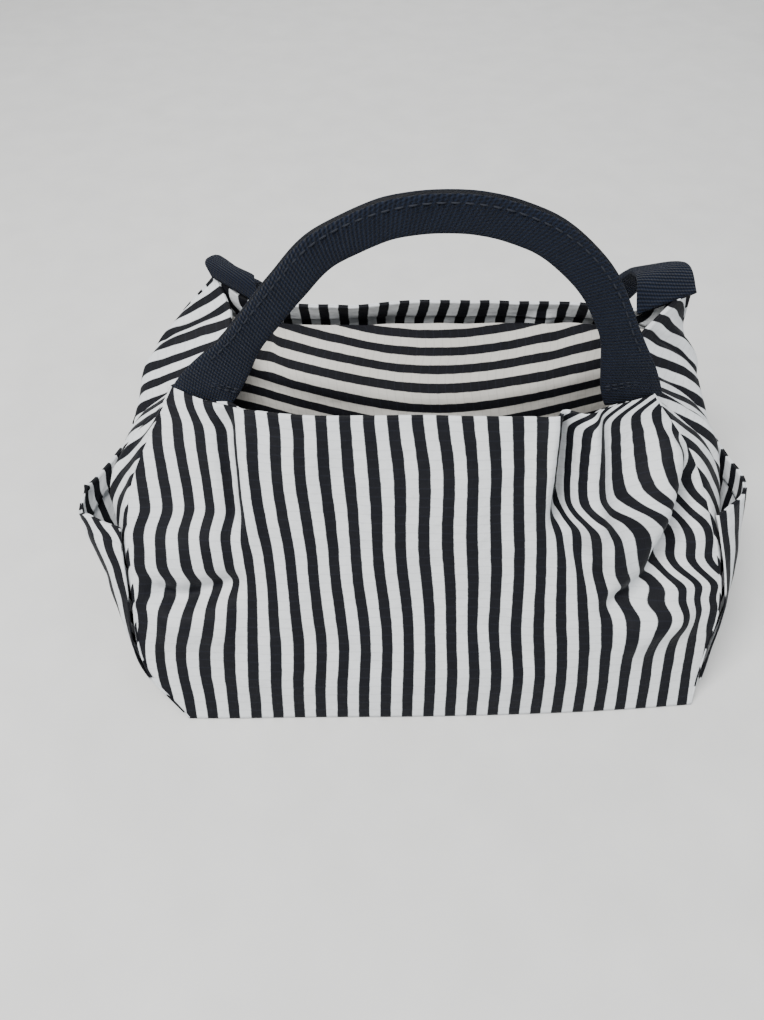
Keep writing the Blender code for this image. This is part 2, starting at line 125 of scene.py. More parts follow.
BACK_RIGHT_WEBBING = (
    (10.2, 7.5, 0.05), (10.8, 8.3, 2.0), (11.0, 9.2, 5.7), (10.7, 9.3, 9.2), (10.3, 8.0, 12.0),
)
BACK_RIGHT_THIRD = ((6.0, 7.6, 0.05), (6.3, 8.6, 1.9), (6.6, 9.8, 5.3), (6.9, 10.1, 8.6), (7.2, 9.3, 11.3))
BACK_MIDDLE = ((0.2, 7.6, 0.05), (0.2, 8.7, 1.8), (0.2, 10.0, 5.1), (0.2, 10.3, 8.4), (0.3, 9.6, 11.1))
BACK_LEFT_THIRD = (
    (-5.8, 7.6, 0.05), (-6.2, 8.6, 1.8), (-6.4, 9.9, 5.1), (-6.6, 10.3, 8.4), (-6.9, 9.4, 11.1),
)
BACK_LEFT_WEBBING = (
    (-9.8, 7.5, 0.05), (-10.4, 8.2, 1.8), (-10.7, 9.3, 5.2), (-10.4, 10.1, 8.5), (-9.3, 9.7, 11.4),
)

# The profiles that each wall is lofted through, and where they stand as shares of its width.
FRONT_PROFILES = (
    FRONT_LEFT_SEAM,
    FRONT_LEFT_WEBBING,
    FRONT_LEFT_THIRD,
    FRONT_MIDDLE,
    FRONT_RIGHT_THIRD,
    FRONT_RIGHT_WEBBING,
    FRONT_RIGHT_SEAM,
)
FRONT_STATIONS = (0.0, 0.10, 0.27, 0.50, 0.74, 0.89, 1.0)
RIGHT_PROFILES = (FRONT_RIGHT_SEAM, RIGHT_GUSSET_FRONT, RIGHT_GUSSET_FOLD, RIGHT_GUSSET_BACK, BACK_RIGHT_SEAM)
BACK_PROFILES = (
    BACK_RIGHT_SEAM,
    BACK_RIGHT_WEBBING,
    BACK_RIGHT_THIRD,
    BACK_MIDDLE,
    BACK_LEFT_THIRD,
    BACK_LEFT_WEBBING,
    BACK_LEFT_SEAM,
)
BACK_STATIONS = (0.0, 0.09, 0.25, 0.50, 0.76, 0.91, 1.0)
LEFT_PROFILES = (BACK_LEFT_SEAM, LEFT_GUSSET_BACK, LEFT_GUSSET_FOLD, LEFT_GUSSET_FRONT, FRONT_LEFT_SEAM)
GUSSET_STATIONS = (0.0, 0.25, 0.50, 0.75, 1.0)

# The middle line of each handle in centimetres, from its left sewn end to its right one.
FRONT_HANDLE_LINE = (
    (-9.85, 1.75, 12.15),
    (-8.4, 1.75, 14.1),
    (-6.65, 1.75, 16.4),
    (-4.3, 1.7, 19.0),
    (-1.6, 1.7, 20.1),
    (1.4, 1.7, 20.1),
    (4.0, 1.7, 19.0),
    (5.8, 1.7, 17.2),
    (7.1, 1.7, 14.8),
    (8.15, 1.7, 12.15),
)
BACK_HANDLE_LINE = (
    (-9.75, 10.0, 12.05),
    (-9.9, 10.4, 12.3),
    (-9.9, 10.9, 12.15),
    (-9.6, 11.6, 11.2),
    (-8.8, 12.3, 9.2),
    (-7.0, 12.5, 6.6),
    (-4.0, 12.6, 4.5),
    (0.3, 12.6, 3.7),
    (4.6, 12.6, 4.5),
    (7.7, 12.5, 6.6),
    (9.8, 12.2, 9.4),
    (10.7, 11.1, 11.7),
    (10.9, 10.2, 12.6),
    (11.0, 9.3, 12.95),
    (11.0, 8.3, 12.5),
)
# Directions across the webbing at the two sewn ends, along the rim.
FRONT_END_AXES = ((0.95, -0.30, -0.05), (-0.95, -0.30, 0.05))
BACK_END_AXES = ((0.86, -0.37, -0.34), (-0.91, -0.05, -0.41))
# The two places that bound each handle's joint, and how far its ends reach below the rim.
FRONT_TURN = ((0.0, 0.0172, 0.1265), (0.0, 0.0172, 0.1385))
BACK_TURN = ((0.0051, 0.1012, 0.129), (0.0059, 0.1132, 0.129))
FRONT_SINK = 0.005
BACK_SINK = 0.006
FINE = 1.0  # how finely the cloth and webbing are divided


# ---------------------------------------------------------------- materials
class Graph:
    """Short spellings for building a node tree."""

    def __init__(self, name):
        self.material = bpy.data.materials.new(name)
        self.material.use_nodes = True
        self.tree = self.material.node_tree
        self.shader = self.tree.nodes["Principled BSDF"]

    def node(self, kind, **settings):
        made = self.tree.nodes.new("ShaderNode" + kind)
        for key, value in settings.items():
            setattr(made, key, value)
        return made

    def link(self, source, target):
        self.tree.links.new(source, target)

    def feed(self, value, socket):
        if hasattr(value, "is_output"):
            self.link(value, socket)
        else:
            socket.default_value = value

    def math(self, operation, a, b=0.0, c=0.0, clamp=False):
        made = self.node("Math", operation=operation, use_clamp=clamp)
        for socket, value in zip(made.inputs, (a, b, c)):
            self.feed(value, socket)
        return made.outputs[0]

    def mix(self, factor, a, b):
        made = self.node("Mix", data_type="RGBA")
        self.feed(factor, made.inputs["Factor"])
        self.feed(a, made.inputs[6])
        self.feed(b, made.inputs[7])
        return made.outputs[2]

    def noise(self, vector, scale, detail=2.0, rough=0.5):
        made = self.node("TexNoise")
        self.link(vector, made.inputs["Vector"])
        made.inputs["Scale"].default_value = scale
        made.inputs["Detail"].default_value = detail
        made.inputs["Roughness"].default_value = rough
        return made.outputs[0]

    def cloth_axes(self):
        """Place on the flat cloth, in centimetres: across the stripes, along them, and both together."""
        uv = self.node("UVMap", uv_map="Cloth").outputs[0]
        split = self.node("SeparateXYZ")
        self.link(uv, split.inputs[0])
        return split.outputs[0], split.outputs[1], uv

    def band(self, coordinate, repeat, share, soft):
        """One inside a band that takes this share of each repeat, with soft edges."""
        wave = self.math("PINGPONG", self.math("DIVIDE", coordinate, repeat), 0.5)
        edge = share * 0.5
        ramp = self.node("MapRange", interpolation_type="SMOOTHSTEP")
        self.link(wave, ramp.inputs["Value"])
        ramp.inputs["From Min"].default_value = edge + soft
        ramp.inputs["From Max"].default_value = edge - soft
        return ramp.outputs[0]

    def bump(self, height, strength, distance, normal=None):
        made = self.node("Bump")
        made.inputs["Strength"].default_value = strength
        made.inputs["Distance"].default_value = distance
        self.link(height, made.inputs["Height"])
        if normal is not None:
            self.link(normal, made.inputs["Normal"])
        return made.outputs[0]


def striped_material(name, white, black, roughness):
    """Printed stripes on plain-woven ripstop cloth. All repeats are in centimetres of cloth."""
    stripe_repeat = 1.0
    drift_depth, bleed_depth = 0.06, 0.035
    thread_repeat = 0.055
    rip_weft_repeat, rip_warp_repeat = 0.42, 0.50
    g = Graph(name)
    across, along, uv = g.cloth_axes()
    drift = g.noise(uv, 1.6, 2.0)
    bleed = g.noise(uv, 26.0, 1.0)
    shift = g.math("MULTIPLY", g.math("SUBTRACT", drift, 0.5), drift_depth)
    shift = g.math("ADD", shift, g.math("MULTIPLY", g.math("SUBTRACT", bleed, 0.5), bleed_depth))
    stripe = g.band(g.math("ADD", across, shift), stripe_repeat, 0.5, 0.022)
    warp_line = g.band(across, thread_repeat, 0.5, 0.2)
    weft_line = g.band(along, thread_repeat, 0.5, 0.2)
    rip_weft = g.band(along, rip_weft_repeat, 0.12, 0.05)
    rip_warp = g.band(across, rip_warp_repeat, 0.10, 0.05)
    patch = g.noise(uv, 3.0, 4.0, 0.6)
    fleck = g.noise(uv, 60.0, 1.0)
    light = g.math("MULTIPLY_ADD", patch, 0.12, 0.93)
    light = g.math("MULTIPLY", light, g.math("MULTIPLY_ADD", fleck, 0.10, 0.95))
    light_white = g.math("MULTIPLY", light, g.math("MULTIPLY_ADD", rip_weft, -0.10, 1.0))
    light_black = g.math("MULTIPLY", light, g.math("MULTIPLY_ADD", rip_weft, 0.9, 1.0))
    vary_white = g.node("VectorMath", operation="SCALE")
    vary_white.inputs[0].default_value = white
    g.link(light_white, vary_white.inputs["Scale"])
    vary_black = g.node("VectorMath", operation="SCALE")
    vary_black.inputs[0].default_value = black
    g.link(light_black, vary_black.inputs["Scale"])
    colour = g.mix(stripe, vary_black.outputs[0], vary_white.outputs[0])
    g.link(colour, g.shader.inputs["Base Color"])
    g.feed(g.math("MULTIPLY_ADD", patch, 0.12, roughness - 0.06), g.shader.inputs["Roughness"])
    weave = g.math("ADD", g.math("MULTIPLY", warp_line, 0.5), g.math("MULTIPLY", weft_line, 0.5))
    ribs = g.math("ADD", rip_weft, rip_warp)
    height = g.math("ADD", weave, g.math("MULTIPLY", ribs, 0.8))
    normal = g.bump(height, 0.35, 0.00012)
    crumple = g.noise(uv, 1.1, 5.0, 0.55)
    normal = g.bump(crumple, 0.5, 0.0022, normal)
    g.link(normal, g.shader.inputs["Normal"])
    g.shader.inputs["Sheen Weight"].default_value = 0.02
    g.shader.inputs["Sheen Roughness"].default_value = 0.4
    g.shader.inputs["Specular IOR Level"].default_value = 0.22
    return g.material


def webbing_material(name, hollow_shade, lit):
    """Coarse twill webbing: slanting ribs across the band, with cords along it, painted darker in the hollows
    between them and lighter on their tops as painted shade and painted highlight.
    """
    rib_repeat, cord_repeat = 0.165, 0.12
    g = Graph(name)
    across, along, uv = g.cloth_axes()
    sway = g.math("MULTIPLY", g.math("SUBTRACT", g.noise(uv, 2.5, 2.0), 0.5), 0.05)
    slant = g.math("ADD", g.math("ADD", along, g.math("MULTIPLY", across, 0.35)), sway)
    rib = g.band(slant, rib_repeat, 0.5, 0.24)
    cord = g.band(g.math("ADD", across, g.math("MULTIPLY", along, 0.3)), cord_repeat, 0.5, 0.22)
    fuzz = g.noise(uv, 45.0, 2.0, 0.7)
    patch = g.noise(uv, 1.3, 3.0)
    height = g.math("ADD", g.math("MULTIPLY", rib, 0.7), g.math("MULTIPLY", cord, 0.35))
    height = g.math("ADD", height, g.math("MULTIPLY", fuzz, 0.35))
    # Painted shade and highlight: the relief of ribs, cords and fuzz sets the colour from shaded hollows to
    # lit tops, varied by random patches.
    relief_shade_and_tone = g.math("MULTIPLY", height, g.math("MULTIPLY_ADD", patch, 0.5, 0.55), clamp=True)
    g.link(g.mix(relief_shade_and_tone, (*hollow_shade, 1.0), (*lit, 1.0)), g.shader.inputs["Base Color"])
    g.shader.inputs["Roughness"].default_value = 0.88
    g.link(g.bump(height, 1.0, 0.0011), g.shader.inputs["Normal"])
    g.shader.inputs["Sheen Weight"].default_value = 0.05
    g.shader.inputs["Sheen Roughness"].default_value = 0.5
    g.shader.inputs["Specular IOR Level"].default_value = 0.15
    return g.material


def plain_material(name, colour, roughness, scale):
    """Thread or floor: one colour with a little unevenness."""
    g = Graph(name)
    place = g.node("TexCoord").outputs["Object"]
    speck = g.noise(place, scale, 3.0)
    vary = g.node("VectorMath", operation="SCALE")
    vary.inputs[0].default_value = colour
    g.link(g.math("MULTIPLY_ADD", speck, 0.16, 0.92), vary.inputs["Scale"])
    g.link(vary.outputs[0], g.shader.inputs["Base Color"])
    g.shader.inputs["Roughness"].default_value = roughness
    g.link(g.bump(speck, 0.2, 0.0004), g.shader.inputs["Normal"])
    return g.material


# ---------------------------------------------------------------- geometry helpers
def spline(knots, values, at):
    """Smooth curve through the values at the knots, read at each place in at."""
    knots = np.asarray(knots, float)
    values = np.asarray(values, float)
    at = np.asarray(at, float)
    slopes = np.gradient(values, knots, axis=0)
    index = np.clip(np.searchsorted(knots, at, side="right") - 1, 0, len(knots) - 2)
    width = knots[index + 1] - knots[index]
    u = (at - knots[index]) / width
    shape = (len(at),) + (1,) * (values.ndim - 1)
    u = u.reshape(shape)
    width = width.reshape(shape)
    return (
        (2 * u**3 - 3 * u**2 + 1) * values[index]
        + (-2 * u**3 + 3 * u**2) * values[index + 1]
        + (u**3 - 2 * u**2 + u) * width * slopes[index]
        + (u**3 - u**2) * width * slopes[index + 1]
    )


def loft(profiles, stations, along, up):
    """Places on a wall, [along, up, 3], in metres."""
    heights = np.stack([spline(PROFILE_SHARES, profile, up) for profile in profiles])
    return spline(stations, heights, along) * CM


def normals_of(grid):
    """Outward normals of a grid of places."""
    normal = np.cross(np.gradient(grid, axis=0), np.gradient(grid, axis=1))
    return normal / np.linalg.norm(normal, axis=2, keepdims=True)


def arc_along(grid):
    """Length along each row, [along, up], from the first column."""
    steps = np.linalg.norm(np.diff(grid, axis=0), axis=2)
    return np.concatenate([np.zeros((1, grid.shape[1])), np.cumsum(steps, axis=0)])


def arc_up(grid):
    """Length up each column, [along, up], from the foot."""
    steps = np.linalg.norm(np.diff(grid, axis=1), axis=2)
    return np.concatenate([np.zeros((grid.shape[0], 1)), np.cumsum(steps, axis=1)], axis=1)


def make_piece(name, points, faces, uvs, material):
    """A smooth-shaded mesh object, with its places on the flat cloth where it has them."""
    mesh = bpy.data.meshes.new(name)
    mesh.from_pydata([tuple(p) for p in points], [], faces)
    mesh.update()
    if uvs is not None:
        layer = mesh.uv_layers.new(name="Cloth")
        corners = np.empty(len(mesh.loops), int)
        mesh.loops.foreach_get("vertex_index", corners)
        layer.data.foreach_set("uv", np.asarray(uvs, float)[corners].ravel())
    mesh.materials.append(material)
    mesh.polygons.foreach_set("use_smooth", [True] * len(mesh.polygons))
    obj = bpy.data.objects.new(name, mesh)
    bpy.context.collection.objects.link(obj)
    return obj


def sheet_piece(name, outer, inner, uv, material):
    """A closed cloth layer between two grids. uv is in centimetres on the flat cloth, [along, up, 2]."""
    columns, rows = outer.shape[:2]
    count = columns * rows
    index = np.arange(count).reshape(columns, rows)
    a, b, c, d = index[:-1, :-1], index[1:, :-1], index[1:, 1:], index[:-1, 1:]
    front = np.stack([a, b, c, d], axis=-1).reshape(-1, 4)
    back = np.stack([d, c, b, a], axis=-1).reshape(-1, 4) + count
    border = np.concatenate([index[:, 0], index[-1, 1:], index[-2::-1, -1], index[0, -2:0:-1]])
    after = np.roll(border, -1)
    rim = np.stack([after, border, border + count, after + count], axis=-1)
    faces = np.concatenate([front, back, rim]).tolist()
    points = np.concatenate([outer.reshape(-1, 3), inner.reshape(-1, 3)])
    uvs = np.concatenate([uv.reshape(-1, 2), uv.reshape(-1, 2)])
    piece = make_piece(name, points, faces, uvs, material)
    return piece


def bell(value, centre, width):
    """A smooth rise to one at the centre."""
    return np.exp(-(((value - centre) / width) ** 2))


def smooth(value, low, high):
    """A smooth step from zero at low to one at high."""
    share = np.clip((value - low) / (high - low), 0.0, 1.0)
    return share * share * (3.0 - 2.0 * share)


def ripple(grid, scale, seed, stretch=(1.0, 1.0, 1.0)):
    """Smooth noise between -1 and 1 at each grid point; scale is the wrinkle size in metres."""
    flat = grid.reshape(-1, 3)
    out = np.empty(len(flat))
    for i, (x, y, z) in enumerate(flat):
        place = Vector((x * stretch[0] / scale + seed, y * stretch[1] / scale, z * stretch[2] / scale))
        out[i] = noise.noise(place)
    return out.reshape(grid.shape[:2])


def seam_pull(along, amount, reach):
    """How far a panel is drawn in beside its two upright seams."""
    return -amount * (np.exp(-along / reach) + np.exp(-(1.0 - along) / reach))


# ---------------------------------------------------------------- materials in use
CLOTH_COLOURS = ((0.78, 0.805, 0.83), (0.0035, 0.0040, 0.0070))  # the white and the black stripe
LINING_COLOURS = ((0.66, 0.64, 0.60), (0.0040, 0.0045, 0.0075))
# The webbing's two colours are painted shade between its ribs and a painted highlight on them.
WEBBING_COLOURS = ((0.0010, 0.0017, 0.0050), (0.0090, 0.0155, 0.0350))  # between its ribs and on them
CLOTH_MATERIAL = striped_material("striped_cloth_look", *CLOTH_COLOURS, 0.70)
LINING_MATERIAL = striped_material("striped_lining_look", *LINING_COLOURS, 0.78)
WEBBING_MATERIAL = webbing_material("navy_webbing_look", *WEBBING_COLOURS)
THREAD_MATERIAL = plain_material("navy_thread_look", (0.006, 0.009, 0.018), 0.8, 900.0)
FLOOR_MATERIAL = plain_material("floor_look", (0.78, 0.78, 0.77), 0.9, 30.0)
STRIPED = {"striped_cloth": CLOTH_MATERIAL, "striped_lining": LINING_MATERIAL}


def finish(obj, node, body):
    """Put a piece in the place of its node, on the body that carries it."""
    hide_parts(node)
    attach(obj, body)


# ---------------------------------------------------------------- walls
def crease(x, z, start, end, reach):
    """Signed distance across a straight crease between two places, and how near its length a point is."""
    (x0, z0), (x1, z1) = start, end
    run = math.hypot(x1 - x0, z1 - z0)
    ahead = ((x - x0) * (x1 - x0) + (z - z0) * (z1 - z0)) / run
    off = ((x - x0) * -(z1 - z0) + (z - z0) * (x1 - x0)) / run
    near = smooth(ahead, -reach, reach) * (1.0 - smooth(ahead, run - reach, run + reach))
    return off, near


# Creases of the front panel: their two ends as shares along and up it, their push outward in metres,
# and their half width as a share of the panel's width.
FRONT_CREASES = (
    ((0.150, 0.97), (0.185, 0.62), -0.0050, 0.020),
    ((0.192, 0.95), (0.215, 0.60), 0.0030, 0.022),
    ((0.730, 1.00), (0.690, 0.66), -0.0130, 0.015),
    ((0.765, 1.00), (0.745, 0.62), 0.0060, 0.026),
    ((0.695, 0.98), (0.655, 0.70), 0.0040, 0.022),
    ((0.690, 0.66), (0.760, 0.45), -0.0050, 0.024),
    ((0.740, 0.66), (0.800, 0.48), 0.0040, 0.026),
    ((0.985, 0.74), (0.870, 0.47), -0.0125, 0.022),
    ((0.960, 0.84), (0.860, 0.60), 0.0075, 0.055),
    ((0.870, 0.47), (0.770, 0.38), -0.0075, 0.022),
    ((0.930, 0.36), (0.800, 0.27), 0.0060, 0.045),
    ((0.010, 0.42), (0.075, 0.395), -0.0075, 0.020),
    ((0.075, 0.395), (0.190, 0.46), -0.0065, 0.020),
    ((0.020, 0.33), (0.180, 0.32), 0.0050, 0.045),
    ((0.030, 0.52), (0.160, 0.56), 0.0040, 0.045),
    ((0.300, 0.30), (0.430, 0.16), -0.0022, 0.030),
    ((0.560, 0.34), (0.660, 0.18), -0.0024, 0.032),
    ((0.340, 0.86), (0.380, 0.52), -0.0018, 0.030),
    ((0.530, 0.80), (0.550, 0.45), 0.0020, 0.050),
)
# Creases of the back panel, from its right seam.
BACK_CREASES = (
    ((0.080, 0.92), (0.130, 0.52), -0.0055, 0.022),
    ((0.130, 0.94), (0.180, 0.56), 0.0045, 0.030),
    ((0.030, 0.50), (0.200, 0.40), -0.0055, 0.022),
    ((0.300, 0.90), (0.340, 0.50), -0.0035, 0.030),
    ((0.340, 0.50), (0.480, 0.30), -0.0035, 0.030),
    ((0.620, 0.86), (0.560, 0.44), 0.0035, 0.045),
    ((0.700, 0.40), (0.860, 0.26), -0.0040, 0.030),
    ((0.870, 0.94), (0.820, 0.55), -0.0060, 0.020),
    ((0.830, 0.94), (0.780, 0.55), 0.0045, 0.028),
    ((0.820, 0.55), (0.940, 0.44), -0.0050, 0.024),
    ((0.980, 0.66), (0.880, 0.60), 0.0045, 0.040),
)
# Creases of each side panel, from the back seam on the left and from the front seam on the right.
SIDE_CREASES = (
    ((0.180, 0.95), (0.260, 0.66), -0.0035, 0.030),
    ((0.260, 0.98), (0.340, 0.70), 0.0030, 0.030),
    ((0.560, 0.96), (0.500, 0.68), -0.0040, 0.030),
    ((0.760, 0.95), (0.700, 0.62), -0.0035, 0.028),
    ((0.830, 0.92), (0.780, 0.60), 0.0030, 0.030),
)
CREASE_HEIGHT = 0.60  # a panel's height over its width, so that creases keep their angle
CREASE_FADE = 0.035  # how far a crease fades at its ends, in panel widths
# Wrinkles of each panel: height and size in metres, seed, and stretch along X, Y and Z.
UPRIGHT = (1.0, 1.0, 0.6)
EVEN = (1.0, 1.0, 1.0)
FRONT_WRINKLES = ((0.0012, 0.040, 3.0, UPRIGHT), (0.0005, 0.012, 9.0, EVEN))
BACK_WRINKLES = ((0.0018, 0.036, 13.0, UPRIGHT), (0.0006, 0.013, 19.0, EVEN))
# How far the upright seams draw a panel in, in metres, and how far across it, as a share of its width.
WALL_PULL = (0.0012, 0.008)
GUSSET_PULL = (0.0010, 0.012)


def panel_folds(along, up, creases):
    """Folds and hollows of a slumped panel, outward in metres."""
    x = along[:, None]
    z = up[None, :] * CREASE_HEIGHT
    push = np.zeros((len(along), len(up)))
    for start, end, depth, width in creases:
        start = (start[0], start[1] * CREASE_HEIGHT)
        end = (end[0], end[1] * CREASE_HEIGHT)
        off, near = crease(x, z, start, end, CREASE_FADE)
        push = push + depth * bell(off, 0.0, width) * near
    return push


def shape_panel(grid, along, up, folds, wrinkles, quiet_edge, pull):
    """A lofted panel with its folds only, and the same panel with its wrinkles and seam pull too."""
    normal = normals_of(grid)
    foot = smooth(up, 0.0, 0.10)[None, :]
    quiet = smooth(np.minimum(along, 1.0 - along), 0.0, quiet_edge)[:, None] * foot
    creased = grid + normal * (folds * quiet)[:, :, None]
    rough = sum(height * ripple(grid, size, seed, stretch) for height, size, seed, stretch in wrinkles)
    drawn = seam_pull(along, *pull)[:, None] * foot
    return creased, creased + normal * (rough * quiet + drawn)[:, :, None]


def stripe_sway(along, up):
    """How far the stripes are dragged sideways where the cloth is gathered, in centimetres."""
    x = along[:, None]
    z = up[None, :]
    sway = 0.55 * bell(x, 0.76, 0.09) * smooth(z, 0.20, 0.62) * (1.0 - smooth(z, 0.66, 0.95))
    sway = sway - 0.60 * bell(x, 0.90, 0.07) * bell(z, 0.42, 0.16)
    sway = sway - 0.35 * bell(x, 0.10, 0.09) * bell(z, 0.50, 0.22)
    sway = sway + 0.35 * bell(x, 0.06, 0.08) * bell(z, 0.20, 0.14)
    return sway + slack_sway(along, up)


def slack_sway(along, up):
    """The slight wander of the stripes wherever the cloth hangs slack, in centimetres."""
    x = along[:, None]
    z = up[None, :]
    sway = 0.10 * np.sin(7.0 * z + 9.0 * x) * smooth(z, 0.05, 0.30) * (1.0 - smooth(z, 0.80, 1.0))
    return sway + 0.04 * np.sin(15.0 * z - 17.0 * x + 1.0) * smooth(z, 0.05, 0.30)


def upright_stripes(length, middle, up, sway=0.0):
    """Places on the flat cloth of a wall with upright stripes, counted from its middle column."""
    height = np.broadcast_to(up[None, :], length.shape) * PANEL_HEIGHT / CM
    return np.stack([(length - middle[None, :]) / CM + sway, height], axis=2)


def level_stripes(cloth):
    """Places on the flat cloth of a lining, whose stripes run level."""
    return np.stack([arc_up(cloth) / CM, arc_along(cloth) / CM], axis=2)


def rows_between(up, low, high):
    return np.flatnonzero((up >= low) & (up <= high))


def cloth_layer(node, outer, uv, slot):
    """One layer of the bag's cloth, behind its outer face."""
    piece = sheet_piece(node + "_cloth", outer, outer - normals_of(outer) * CLOTH, uv, STRIPED[slot])
    finish(piece, node, "bag_body")


def band_layer(node, surface, uv, columns, rows):
    """The band of outer cloth turned in at the rim."""
    cloth_layer(node, surface[columns][:, rows], uv[columns][:, rows], "striped_cloth")


def lining_layer(node, surface, columns, rows):
    inside = surface[columns][:, rows]
    cloth_layer(node, inside, level_stripes(inside), "striped_lining")


def build_front():
    """The front panel, its rim facing and its lining."""
    along = np.linspace(0.0, 1.0, int(190 * FINE))
    up = np.linspace(0.0, 1.0, int(120 * FINE))
    grid = loft(FRONT_PROFILES, FRONT_STATIONS, along, up)
    folds = panel_folds(along, up, FRONT_CREASES)
    creased, folded = shape_panel(grid, along, up, folds, FRONT_WRINKLES, 0.06, WALL_PULL)
    skin = normals_of(folded)
    length = arc_along(creased)
    uv = upright_stripes(length, length[len(along) // 2], up, stripe_sway(along, up))
    cloth_layer("front_panel", folded, uv, "striped_cloth")
    room = HANDLE_ROOM * (bell(along, 0.105, 0.055) ** 0.5 + bell(along, 0.90, 0.055) ** 0.5)
    room = room[:, None] * smooth(up, FACING_FOOT, 0.95)[None, :]
    facing = folded - skin * (CLOTH + GAP + room)[:, :, None]
    band_layer("front_rim_facing", facing, uv, slice(4, -4), rows_between(up, FACING_FOOT, 1.0))
    inside = folded - skin * (2 * CLOTH + 2 * GAP)
    lining_layer("front_lining", inside, slice(5, -5), rows_between(up, 0.02, FACING_FOOT + LINING_TUCK))


def build_back():
    """The back panel, its rim facing and the lining that has come loose from it."""
    along = np.linspace(0.0, 1.0, int(150 * FINE))
    up = np.linspace(0.0, 1.0, int(110 * FINE))
    grid = loft(BACK_PROFILES, BACK_STATIONS, along, up)
    folds = panel_folds(along, up, BACK_CREASES)
    creased, folded = shape_panel(grid, along, up, folds, BACK_WRINKLES, 0.06, WALL_PULL)
    skin = normals_of(folded)
    length = arc_along(creased)
    uv = upright_stripes(length, length[len(along) // 2], up, slack_sway(along, up))
    cloth_layer("back_panel", folded, uv, "striped_cloth")
    facing = folded - skin * (CLOTH + GAP)
    band_layer("back_rim_facing", facing, uv, slice(3, -3), rows_between(up, FACING_FOOT, 1.0))
    swell = np.sin(np.pi * np.clip((along - 0.03) / 0.94, 0.0, 1.0))[:, None] ** 0.8
    hang = spline(HANG_KNOTS, HANG_VALUES, up)[None, :]
    inset = 2 * CLOTH + 4 * GAP
    near_rim = smooth(up, 0.66, 0.84)[None, :, None]
    # Only near the rim does the lining follow the panel's folds.
    loose = (grid - normals_of(grid) * inset) * (1.0 - near_rim) + (folded - skin * inset) * near_rim
    loose[:, :, 1] -= LINING_SLACK * swell * hang
    loose[:, :, 2] += 0.0012 * ripple(loose, 0.045, 31.0) * swell * smooth(up, 0.1, 0.5)[None, :]
    lining_layer("back_lining", loose, slice(4, -4), rows_between(up, 0.03, FACING_FOOT + 0.012))


def build_side(side, profiles, peak, bulge, seed):
    """A side gusset with its rim hem and lining, and the pocket on it."""
    along = np.linspace(0.0, 1.0, int(110 * FINE))
    up = np.linspace(0.0, 1.0, int(110 * FINE))
    grid = loft(profiles, GUSSET_STATIONS, along, up)
    folds = 0.6 * panel_folds(along, up, SIDE_CREASES)
    wrinkles = ((0.0011, 0.036, seed, EVEN), (0.0005, 0.011, seed + 5.0, EVEN))
    _, folded = shape_panel(grid, along, up, folds, wrinkles, 0.07, GUSSET_PULL)
    skin = normals_of(folded)
    # The stripes stand upright, so they are counted from a fixed depth of the bag at every height.
    length = arc_along(folded)
    nearest = np.argmin(np.abs(folded[:, :, 1] - 0.045), axis=0)
    picks = np.linspace(0, len(up) - 1, 6).astype(int)
    uv = upright_stripes(length, spline(up[picks], length[nearest[picks], picks], up), up)
    cloth_layer(side + "_gusset", folded, uv, "striped_cloth")
    hem = folded - skin * (CLOTH + GAP)
    band_layer(side + "_rim_hem", hem, uv, slice(3, -3), rows_between(up, HEM_FOOT, 1.0))
    inside = folded - skin * (2 * CLOTH + 2 * GAP)
    lining_layer(side + "_lining", inside, slice(4, -4), rows_between(up, 0.02, HEM_FOOT + LINING_TUCK))
    build_pocket(side, folded + skin * GAP, skin, along, up, peak, bulge, seed + 11.0)


def build_pocket(side, foot, skin, along, up, peak, bulge, seed):
    """A pocket that stands off its gusset from the foot up, and the hem turned in at its mouth."""
    share = np.clip((up - POCKET_FOOT) / (POCKET_TOP - POCKET_FOOT), 0.0, 1.0)[None, :]
    across = bell(along, peak, POCKET_REACH) * smooth(np.minimum(along, 1.0 - along), 0.0, 0.08)
    across = across[:, None]
    stand = foot + skin * (bulge * across * share**0.75)[:, :, None]
    outward = normals_of(stand)
    stand = stand + outward * (0.0016 * ripple(stand, 0.026, seed) * across * share)[:, :, None]
    length = arc_along(stand)
    uv = upright_stripes(length, length[int(len(along) * peak)], up)
    hem_foot = POCKET_TOP - HEM_DEPTH / PANEL_HEIGHT
    layers = (
        ("_pocket", CLOTH + GAP, slice(2, -2), rows_between(up, POCKET_FOOT, POCKET_TOP)),
        ("_pocket_hem", 0.0, slice(3, -3), rows_between(up, hem_foot, POCKET_TOP)),
    )
    for part, offset, columns, rows in layers:
        outer = (stand + outward * (offset + CLOTH))[columns][:, rows]
        inner = (stand + outward * offset)[columns][:, rows]
        piece = sheet_piece(side + part + "_cloth", outer, inner, uv[columns][:, rows], CLOTH_MATERIAL)
        finish(piece, side + part, side + "_pocket")


# ---------------------------------------------------------------- base
def plate_piece(node, margin, low, high, slot):
    """A flat piece of the base, on a grid squeezed to its sides; the front edge runs back to the right."""
    left, right, back = -0.1120 + margin, 0.1185 - margin, 0.0728 - margin
    front_left, front_right = -0.0719 + margin, -0.0649 + margin
    u = np.linspace(0.0, 1.0, 40)[:, None]
    v = np.linspace(0.0, 1.0, 26)[None, :]
    x = left + (right - left) * u + 0.0 * v
    front = front_left + (front_right - front_left) * u**1.6
    y = front + (back - front) * v
    top = np.stack([x, y, np.full(x.shape, high)], axis=2)
    bottom = np.stack([x, y, np.full(x.shape, low)], axis=2)
    piece = sheet_piece(node + "_cloth", top, bottom, np.stack([x / CM, y / CM], axis=2), STRIPED[slot])
    finish(piece, node, "bag_body")


def build_base():
    """The base and the lining that lies on it."""
    plate_piece("base_panel", 0.0, 0.0, 0.0008, "striped_cloth")
    plate_piece("base_lining", 0.0035, 0.0011, 0.0019, "striped_lining")


# ---------------------------------------------------------------- handles
def sunk(end, following, sink):
    """The end of a line moved away from the point that follows it."""
    return end - (following - end) / np.linalg.norm(following - end) * sink


